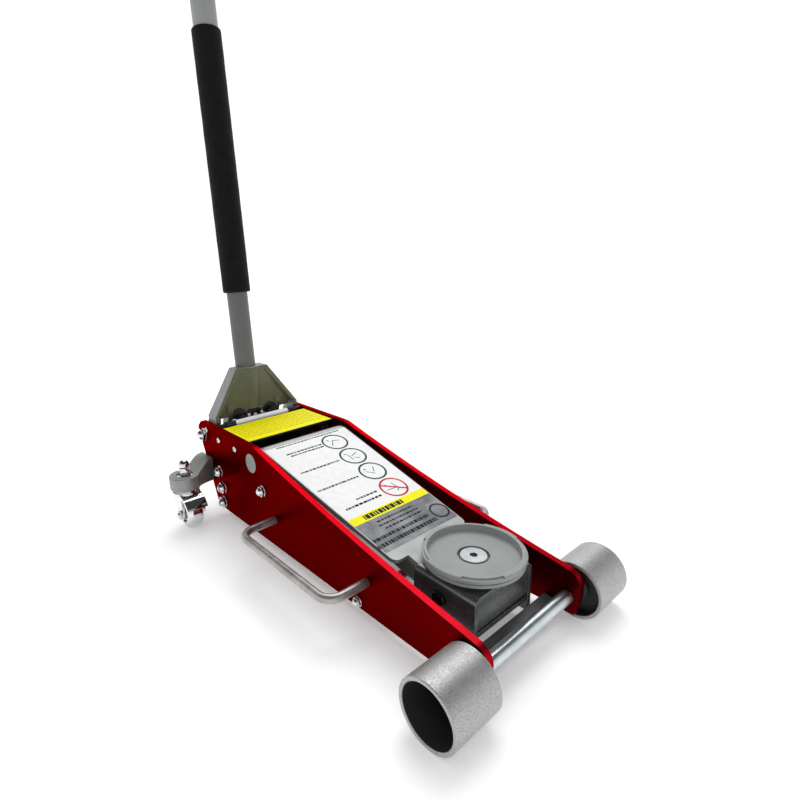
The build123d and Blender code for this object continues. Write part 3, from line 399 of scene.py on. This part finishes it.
def make_materials():
    """Every material of the shown CAD nodes, with the names of the nodes that wear it."""
    # In the painted() calls, the colour after the metallic value is a painted highlight along the part's
    # edges.
    grey = painted("saddle_grey", (0.235, 0.25, 0.24), (0.275, 0.29, 0.28), (0.40, 0.50), 0.15,
                   (0.50, 0.52, 0.50))
    bracket = painted("bracket_grey", (0.12, 0.125, 0.127), (0.17, 0.175, 0.175), (0.22, 0.30), 0.75,
                      (0.30, 0.31, 0.31), soft=0.9 * MM)
    arm = painted("arm_grey", (0.30, 0.315, 0.305), (0.35, 0.365, 0.355), (0.36, 0.46), 0.3,
                  (0.66, 0.67, 0.66))
    # Painted shade: a darker copy of the arm's grey for the cheeks and pivot tube beneath its top plate.
    arm_shaded_copy = painted("arm_painted_shade", (0.16, 0.165, 0.165), (0.22, 0.225, 0.22), (0.38, 0.5), 0.3,
                    (0.35, 0.35, 0.35))
    yoke = cast_yoke()
    tube = painted("handle_grey", (0.088, 0.094, 0.088), (0.112, 0.118, 0.110), (0.34, 0.42), 0.3, None)
    upper = painted("handle_upper_grey", (0.27, 0.28, 0.275), (0.32, 0.33, 0.325), (0.34, 0.42), 0.4, None)
    cast = painted("cast_arm", (0.25, 0.248, 0.243), (0.31, 0.307, 0.30), (0.36, 0.46), 0.5,
                   (0.66, 0.65, 0.64), 0.08 * MM)
    folded = painted("folded_plate", (0.10, 0.103, 0.10), (0.14, 0.143, 0.14), (0.34, 0.44), 0.4,
                     (0.35, 0.35, 0.34))
    black = painted("black_steel", (0.010, 0.010, 0.011), (0.022, 0.022, 0.023), (0.30, 0.42), 0.2,
                    (0.10, 0.10, 0.10))
    gloss = painted("black_parts", (0.006, 0.006, 0.007), (0.014, 0.014, 0.015), (0.10, 0.20), 0.3,
                    (0.08, 0.08, 0.08))
    rubber = painted("grip_rubber", (0.012, 0.012, 0.012), (0.022, 0.022, 0.022), (0.55, 0.7), 0.0,
                     None, 0.1 * MM)
    zinc = plated("zinc", (0.58, 0.64, 0.67), (0.76, 0.80, 0.82), (0.14, 0.30))
    bar = plated("axle_zinc", (0.50, 0.56, 0.57), (0.64, 0.69, 0.70), (0.26, 0.38))
    screw = plated("screw_zinc", (0.34, 0.37, 0.37), (0.46, 0.49, 0.49), (0.30, 0.42))
    chrome = plated("chrome", (0.66, 0.67, 0.68), (0.84, 0.84, 0.85), (0.04, 0.12), 0.2)
    wheel = plated("wheel_steel", (0.60, 0.61, 0.62), (0.80, 0.80, 0.81), (0.07, 0.18), 0.25)
    shaft = painted("shaft_end", (0.26, 0.29, 0.265), (0.31, 0.335, 0.31), (0.32, 0.42), 0.4,
                    (0.6, 0.6, 0.58))
    satin = bare_steel("satin_steel", (0.34, 0.325, 0.31), (0.52, 0.51, 0.49), (0.34, 0.48))
    spring = bare_steel("spring_steel", (0.16, 0.16, 0.17), (0.30, 0.30, 0.31), (0.25, 0.4))
    sleeve = painted("sleeve_white", (0.86, 0.87, 0.88), (0.93, 0.94, 0.95), (0.30, 0.40), 0.0, None)
    return {
        red_anodised(): ["side_plate_left", "side_plate_right"],
        shot_blasted("cast_alu_left", *roller_bore("roller_left")): ["roller_left"],
        shot_blasted("cast_alu_right", *roller_bore("roller_right")): ["roller_right"],
        satin: ["carry_handle_left", "carry_handle_right"],
        cast: ["caster_arm_left", "caster_arm_right"],
        bar: ["front_axle"],
        zinc: ["axle_spacers", "tie_bar", "inner_nuts", "spring_anchor", "cylinder_gland", "pump_rollers",
               "handle_drive_end", "release_valve", "spring_pin", "ram_pin", "link_bar_left",
               "link_bar_right"],
        screw: ["saddle_screw"],
        chrome: ["axle_nuts", "plate_screws", "frame_nuts", "link_bolts", "handle_pivot_bolts",
                 "caster_fork_left", "caster_fork_right", "caster_bolts_left", "caster_bolts_right",
                 "ram_rod", "pump_plungers", "block_plugs"],
        wheel: ["caster_wheel_left", "caster_wheel_right"],
        shaft: ["arm_pivot_shaft"],
        black: ["cover_plate", "rear_cross_plate", "hydraulic_mount_bars", "ram_cylinder", "guard_rod",
                "crosshead"],
        gloss: ["hydraulic_block", "saddle_pins", "bracket_link_pins"],
        sleeve: ["guard_sleeve"],
        spring: ["return_springs", "pump_springs"],
        arm_shaded_copy: ["lift_arm_cheeks", "lift_arm_pivot_tube"],
        folded: ["front_cross_plate"],
        arm: ["lift_arm_top_plate"],
        bracket: ["saddle_bracket"],
        grey: ["saddle"],
        yoke: ["handle_yoke"],
        tube: ["handle_lower_tube"],
        upper: ["handle_upper_tube"],
        rubber: ["handle_end_grip"],
    }


def dress_frame(table):
    """Gives every shown CAD node its finish."""
    for material, names in table.items():
        for name in names:
            slots = nodes[name].data.materials
            slots.clear()
            slots.append(material)


# ---------------------------------------------------------------- mesh helpers
def piece(name, form, material, body, smooth=False):
    """Turns a bmesh into a piece that rides on a CAD body."""
    bmesh.ops.recalc_face_normals(form, faces=form.faces)
    mesh = bpy.data.meshes.new(name)
    form.to_mesh(mesh)
    form.free()
    for face in mesh.polygons:
        face.use_smooth = smooth
    mesh.materials.append(material)
    made = add_object(name, mesh)
    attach(made, body)
    return made


def add_slab(form, place, outline, low, high):
    """Closed thin solid: an outline in a plane, between two heights above it."""
    bottom = [form.verts.new(place @ Vector((u, v, low))) for u, v in outline]
    top = [form.verts.new(place @ Vector((u, v, high))) for u, v in outline]
    form.faces.new(top)
    form.faces.new(list(reversed(bottom)))
    count = len(outline)
    for i in range(count):
        after = (i + 1) % count
        form.faces.new((bottom[i], bottom[after], top[after], top[i]))


def add_ring(form, place, centre, outer, inner, low, high):
    """Closed thin washer in a plane."""
    steps = 72
    loops = []
    for radius, height in ((inner, low), (outer, low), (outer, high), (inner, high)):
        loop = []
        for i in range(steps):
            angle = 2 * math.pi * i / steps
            u, v = centre[0] + radius * math.cos(angle), centre[1] + radius * math.sin(angle)
            loop.append(form.verts.new(place @ Vector((u, v, height))))
        loops.append(loop)
    for k in range(4):
        first, second = loops[k], loops[(k + 1) % 4]
        for i in range(steps):
            after = (i + 1) % steps
            form.faces.new((first[i], first[after], second[after], second[i]))


def rectangle(u0, u1, v0, v1):
    """Corners in turn, for add_slab."""
    return [(u0, v0), (u1, v0), (u1, v1), (u0, v1)]


def add_words(form, place, u, v0, v1, height, low, high, rng):
    """Row of short dashes that stands for a line of small print."""
    v = v0
    while v < v1:
        width = min(rng.uniform(1.6, 6.5) * MM, v1 - v)
        if width > 0.5 * MM:
            add_slab(form, place, rectangle(u, u + height, v, v + width), low, high)
        v += width + rng.uniform(0.9, 1.5) * MM


# ---------------------------------------------------------------- labels
def arm_place():
    """Plane of the lift arm's top, from the middle of its rear edge: X down the slope, Y to the left."""
    low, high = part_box("lift_arm_top_plate")
    origin = Vector((low.x + ARM_PLATE_T * math.sin(ARM_SLOPE), 0, high.z))
    return Matrix.Translation(origin) @ Matrix.Rotation(ARM_SLOPE, 4, "Y")


def arm_half_width(u):
    """Half width of the top plate at a distance from its rear edge."""
    low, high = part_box("lift_arm_top_plate")
    rear = (high.y - low.y) / 2
    return rear - ARM_NARROWING * u


def ring_centre(i):
    """Middle of a pictogram's ring in the plane of the arm's top."""
    return RING_FIRST + RING_STEP * i, RING_ASIDE


def add_symbol(form, place, centre, kind, low, high):
    """Plain generic line symbol inside a ring: a few strokes, no lettering."""
    strokes = ((-8, -9, 5, 1.6, 20), (2, -6, 15, 1.3, -35), (-3, 4, 13, 1.3, 70), (7, 3, 9, 1.3, 5))
    for du, dv, length, width, angle in strokes[:3 + kind % 2]:
        middle = Matrix.Translation((centre[0] + du * MM, centre[1] + dv * MM, 0))
        turn = Matrix.Rotation(math.radians(angle + 40 * kind), 4, "Z")
        reach, half = length / 2 * MM, width / 2 * MM
        add_slab(form, place @ middle @ turn, rectangle(-reach, reach, -half, half), low, high)


def make_arm_films(place):
    """White instruction film, plain yellow band and silver rating panel on the lift arm."""
    inset = 1.2 * MM
    white = printed("label_white", (0.80, 0.80, 0.80), (0.88, 0.88, 0.88))
    yellow = printed("label_yellow", (0.86, 0.80, 0.0), (0.92, 0.86, 0.0))
    silver = brushed_film("label_silver")
    films = (("label_instructions", white, 8.0, 200.5), ("label_band", yellow, 200.5, 214.5),
             ("label_rating", silver, 214.5, 271.0))
    for name, material, start, end in films:
        u0, u1 = start * MM, end * MM
        rear, front = arm_half_width(u0) - inset, arm_half_width(u1) - inset
        form = bmesh.new()
        add_slab(form, place, [(u0, -rear), (u1, -front), (u1, front), (u0, rear)], 0.0, FILM)
        piece(name, form, material, "lift_arm")


def make_arm_print(place):
    """On those films, rows of dashes, an empty round badge and four generic symbols in rings."""
    low, high = FILM, FILM + INK
    rng = random.Random(SEED)
    words = bmesh.new()
    for u, v0, v1, height in ARM_PRINT:
        add_words(words, place, u * MM, v0 * MM, v1 * MM, height * MM, low, high, rng)
    for i in range(PICTOGRAMS):
        add_symbol(words, place, ring_centre(i), i, low, high)
    badge = (249.5 * MM, 53.0 * MM)
    add_ring(words, place, badge, 14.5 * MM, 11.8 * MM, low, high)
    dark = printed("label_print", (0.008, 0.008, 0.009), (0.02, 0.02, 0.021))
    piece("label_small_print", words, dark, "lift_arm")

    rings = bmesh.new()
    for i in range(PICTOGRAMS - 1):
        add_ring(rings, place, ring_centre(i), RING_OUTER, RING_INNER, low, high)
    green = printed("label_green", (0.002, 0.045, 0.026), (0.004, 0.065, 0.038))
    piece("label_green_rings", rings, green, "lift_arm")

    barred = bmesh.new()
    last = ring_centre(PICTOGRAMS - 1)
    add_ring(barred, place, last, RING_OUTER, RING_INNER, low, high)
    slant = Matrix.Translation((*last, 0)) @ Matrix.Rotation(math.radians(52), 4, "Z")
    add_slab(barred, place @ slant, rectangle(-19.6 * MM, 19.6 * MM, -1.5 * MM, 1.5 * MM), high, high + INK)
    red = printed("label_red", (0.45, 0.012, 0.02), (0.55, 0.02, 0.03))
    piece("label_red_ring", barred, red, "lift_arm")


def make_cover_label():
    """Plain yellow film with rows of small print on the cover plate."""
    low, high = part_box("cover_plate")
    place = Matrix.Translation((low.x, 0, high.z))
    length = high.x - low.x
    half = (high.y - low.y) / 2
    edge = 1.0 * MM
    film = bmesh.new()
    add_slab(film, place, rectangle(edge, length - edge, -half + edge, half - edge), 0.0, FILM)
    yellow = printed("cover_film", (0.86, 0.78, 0.0), (0.92, 0.85, 0.0))
    piece("cover_label", film, yellow, "frame")
    rng = random.Random(SEED + 1)
    words = bmesh.new()
    rows, first, pitch, height = 9, 9.0, 7.6, 1.5 * MM
    for row in range(rows):
        u = (first + pitch * row) * MM
        add_words(words, place, u, -half + 9 * MM, half - 8 * MM, height, FILM, FILM + INK, rng)
    dark = printed("cover_print", (0.07, 0.06, 0.0), (0.13, 0.11, 0.0))
    piece("cover_small_print", words, dark, "frame")


# ---------------------------------------------------------------- black sheets of painted shade in the yoke's arches
def arch_outline(across, height, radius):
    """Circle with its lowest part cut off level, to fill an arch."""
    first, sweep, steps = -20, 220, 32
    angles = (math.radians(first + sweep * i / steps) for i in range(steps + 1))
    return [(across + radius * math.cos(a), height + radius * math.sin(a)) for a in angles]


def make_arch_shade_sheets():
    """Black sheets in the yoke's arches, which the CAD model leaves open: painted shade standing in for the
    shadow behind them.
    """
    low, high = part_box("handle_pivot_bolts")
    rear_face = (low.x + high.x) / 2 + 6.0 * MM
    gap = 0.4
    upright = Matrix(((0, 0, 1, 0), (1, 0, 0, 0), (0, 1, 0, 0), (0, 0, 0, 1)))    # u to the left, v up
    stand = Matrix.Translation((rear_face, 0, 0)) @ upright
    form = bmesh.new()
    for across, height, radius in YOKE_ARCHES:
        outline = arch_outline(across * MM, height * MM, (radius - gap) * MM)
        add_slab(form, stand, outline, 0.0, 4.5 * MM)
    # Painted shade: near-black sheets where the arches would otherwise show light through.
    rubber = painted("arch_shade_black", (0.006, 0.006, 0.006), (0.014, 0.014, 0.014), (0.4, 0.55), 0.0, None,
                     0.1 * MM)
    piece("yoke_arch_shade", form, rubber, "yoke")


# ---------------------------------------------------------------- foam grip
def make_foam():
    """Foam sleeve: a turned shell with soft ends and the slight unevenness of foam."""
    low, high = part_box("foam_grip")
    radius = (high.y - low.y) / 2
    length = (high.z - low.z - 2 * radius * math.sin(HANDLE_LEAN)) / math.cos(HANDLE_LEAN)
    place = Matrix.Translation((low + high) / 2) @ Matrix.Rotation(-HANDLE_LEAN, 4, "Y")
    profile = foam_profile(radius, FOAM_BORE, length)
    around = 96
    rng = random.Random(SEED + 2)
    turn = 6.28
    waves = [(rng.uniform(8, 30), rng.uniform(0, turn), rng.randint(1, 3), rng.uniform(0.03, 0.09) * MM)
             for _ in range(7)]
    form = bmesh.new()
    rings = []
    for r, z in profile:
        ring = []
        for i in range(around):
            angle = 2 * math.pi * i / around
            dent = 0.0
            if r > FOAM_BORE + 2 * MM:
                dent = sum(size * (1 + math.sin(pitch * z * turn + phase + turns * angle))
                           for pitch, phase, turns, size in waves) * 0.5
            spot = Vector(((r - dent) * math.cos(angle), (r - dent) * math.sin(angle), z))
            ring.append(form.verts.new(place @ spot))
        rings.append(ring)
    for k in range(len(rings)):
        first, second = rings[k], rings[(k + 1) % len(rings)]
        for i in range(around):
            after = (i + 1) % around
            form.faces.new((first[i], first[after], second[after], second[i]))
    made = piece("foam_sleeve", form, foam_rubber(), "handle", smooth=True)
    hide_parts("foam_grip")


def foam_profile(radius, inner, length):
    """Closed half section of the sleeve as (radius, height): outside, rounded ends and bore."""
    corner = 3.5 * MM
    half = length / 2
    bend, along = 8, 60
    points = []
    for i in range(bend + 1):
        angle = -math.pi / 2 + math.pi / 2 * i / bend
        points.append((radius - corner + corner * math.cos(angle), -half + corner + corner * math.sin(angle)))
    for i in range(1, along):
        points.append((radius, -half + corner + (length - 2 * corner) * i / along))
    for i in range(bend + 1):
        angle = math.pi / 2 * i / bend
        points.append((radius - corner + corner * math.cos(angle), half - corner + corner * math.sin(angle)))
    break_in = 0.4 * MM
    points += [(inner + break_in, half), (inner, half - break_in), (inner, -half + break_in),
               (inner + break_in, -half)]
    return points


# ---------------------------------------------------------------- build
bpy.context.scene.view_settings.view_transform = "Standard"
make_camera()
make_world()
make_sun("softbox", (-0.38, 0.42, 0.90), 1.5, 44.0)
make_floor()
dress_frame(make_materials())
make_arm_films(arm_place())
make_arm_print(arm_place())
make_cover_label()
make_arch_shade_sheets()
make_foam()
